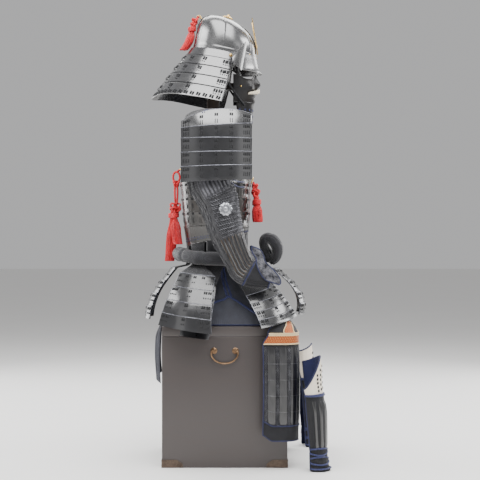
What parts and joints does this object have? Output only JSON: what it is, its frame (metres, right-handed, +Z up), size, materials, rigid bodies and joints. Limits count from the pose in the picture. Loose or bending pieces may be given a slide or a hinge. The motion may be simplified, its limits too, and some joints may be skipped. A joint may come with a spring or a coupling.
{
  "type": "samurai armour on a stand and storage box",
  "caption": "Suit of lamellar armour with helmet, half mask, cuirass, sleeves, skirt, thigh and shin guards, on a plain stand over its lidded storage box with bail handles.",
  "frame": {"origin": "middle of the storage box's underside, on the surface that the armour stands on", "axes": "+Z up, the armour faces -Y, the wearer's right hand is at -X"},
  "size_m": [0.6346, 0.6637, 1.6268],
  "materials": {
    "black_lacquer": "glossy black lacquer over iron",
    "brown_lacquer": "dark brown satin lacquer over wood",
    "steel": "polished grey steel",
    "gilt_brass": "polished gilt",
    "bronze": "dark brown bronze",
    "black_cloth": "matt black cotton",
    "navy_cloth": "matt navy cotton with leather and brocade",
    "red_silk": "soft red silk",
    "ivory_hair": "pale hair",
    "dark_wood": "dark stained wood"
  },
  "bodies": {
    "armour": {"back_tail": "navy_cloth", "back_tassels": "red_silk", "box_body": "brown_lacquer", "box_lid": "brown_lacquer", "corner_back_left": "bronze", "corner_back_right": "bronze", "corner_front_left": "bronze", "corner_front_right": "bronze", "crown_ornament": "gilt_brass", "cuirass_back": "black_lacquer", "cuirass_front": "black_lacquer", "elbow_plate_left": "steel", "elbow_plate_right": "steel", "face_mask": "black_lacquer", "front_tassel_left": "red_silk", "front_tassel_right": "red_silk", "hand_guard_left": "black_lacquer", "hand_guard_right": "black_lacquer", "helmet_bowl": "black_lacquer", "helmet_crest": "gilt_brass", "helmet_peak": "steel", "helmet_ridge": "black_lacquer", "helmet_tassel": "red_silk", "mask_moustache": "ivory_hair", "neck_lame_1": "black_lacquer", "neck_lame_2": "black_lacquer", "neck_lame_3": "black_lacquer", "neck_lame_4": "black_lacquer", "neck_lame_5": "black_lacquer", "rosette_left_back": "bronze", "rosette_left_front": "bronze", "rosette_right_back": "bronze", "rosette_right_front": "bronze", "sash": "black_cloth", "sash_bow": "black_cloth", "shin_guard_left": "navy_cloth", "shin_guard_right": "navy_cloth", "shoulder_guard_left": "black_lacquer", "shoulder_guard_right": "black_lacquer", "shoulder_strap_left": "black_cloth", "shoulder_strap_right": "black_cloth", "sleeve_left": "black_cloth", "sleeve_right": "black_cloth", "stand": "dark_wood", "tasset_back": "black_lacquer", "tasset_back_left": "black_lacquer", "tasset_back_right": "black_lacquer", "tasset_front": "black_lacquer", "tasset_front_left": "black_lacquer", "tasset_front_right": "black_lacquer", "tasset_side_left": "black_lacquer", "tasset_side_right": "black_lacquer", "thigh_panel_left": "navy_cloth", "thigh_panel_right": "navy_cloth", "thigh_yoke": "black_cloth", "throat_guard": "black_lacquer", "turnback_left": "black_lacquer", "turnback_right": "black_lacquer"},
    "bail_right": {"handle_right": "bronze"},
    "bail_left": {"handle_left": "bronze"}
  },
  "joints": [
    {"name": "bail_right_swing", "type": "hinge", "parent": "armour", "child": "bail_right", "pos_m": [-0.229, 0, 0.41], "axis": [0, 1, 0], "range_deg": [0, 180]},
    {"name": "bail_left_swing", "type": "hinge", "parent": "armour", "child": "bail_left", "pos_m": [0.229, 0, 0.41], "axis": [0, -1, 0], "range_deg": [0, 180]}
  ]
}
